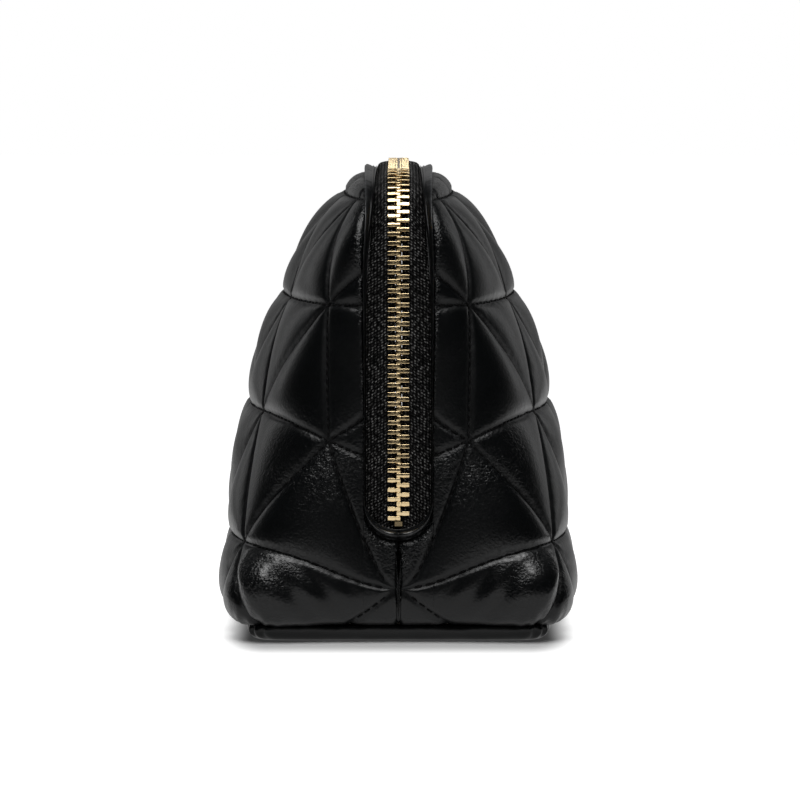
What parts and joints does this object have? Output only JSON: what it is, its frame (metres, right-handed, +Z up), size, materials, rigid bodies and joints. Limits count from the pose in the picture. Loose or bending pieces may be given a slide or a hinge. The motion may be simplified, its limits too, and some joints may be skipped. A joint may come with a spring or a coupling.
{
  "type": "quilted leather zip pouch",
  "caption": "Soft boxed-bottom pouch of quilted black leather, closed by a gold metal zip that runs over the top and down both ends; holds jewellery or cosmetics.",
  "frame": {"origin": "middle of the base's underside, on the surface the pouch stands on", "axes": "+Z up; X along the pouch, with the zip's slider at -X; the front wall at -Y and the back wall at +Y"},
  "size_m": [0.2113, 0.0952, 0.124],
  "materials": {
    "black_leather": "fine-grained, semi-gloss",
    "stiff_board": "matt",
    "wadding": "soft foam",
    "black_lining": "plain weave",
    "zip_tape": "woven",
    "gold_metal": "polished"
  },
  "bodies": {
    "base": {"base_panel": "black_leather", "base_wadding": "wadding", "base_board": "stiff_board", "base_lining": "black_lining", "zip_bottom_stop": "gold_metal"},
    "front_wall": {"front_panel": "black_leather", "front_wadding": "wadding", "front_lining": "black_lining", "front_zip_tape": "zip_tape", "front_zip_teeth": "gold_metal", "front_top_stop": "gold_metal"},
    "back_wall": {"back_panel": "black_leather", "back_wadding": "wadding", "back_lining": "black_lining", "back_zip_tape": "zip_tape", "back_zip_teeth": "gold_metal", "back_top_stop": "gold_metal"},
    "slider": {"zip_slider_body": "gold_metal", "zip_slider_bridge": "gold_metal"},
    "puller": {"zip_puller": "gold_metal"}
  },
  "joints": [
    {"name": "front_wall_fold", "type": "hinge", "parent": "base", "child": "front_wall", "pos_m": [0, -0.041, 0.0045], "axis": [1, 0, 0], "range_deg": [0, 14], "deforming": ["front_zip_teeth"]},
    {"name": "back_wall_fold", "type": "hinge", "parent": "base", "child": "back_wall", "pos_m": [0, 0.041, 0.0045], "axis": [-1, 0, 0], "range_deg": [0, 14], "deforming": ["back_zip_teeth"]},
    {"name": "zip_slide", "type": "slide", "parent": "base", "child": "slider", "axis": [0.1495, 0, 0.9888], "range_m": [0, 0.055]},
    {"name": "puller_swing", "type": "hinge", "parent": "slider", "child": "puller", "pos_m": [-0.10043, 0, 0.044], "axis": [0, 1, 0], "range_deg": [0, 165]}
  ]
}
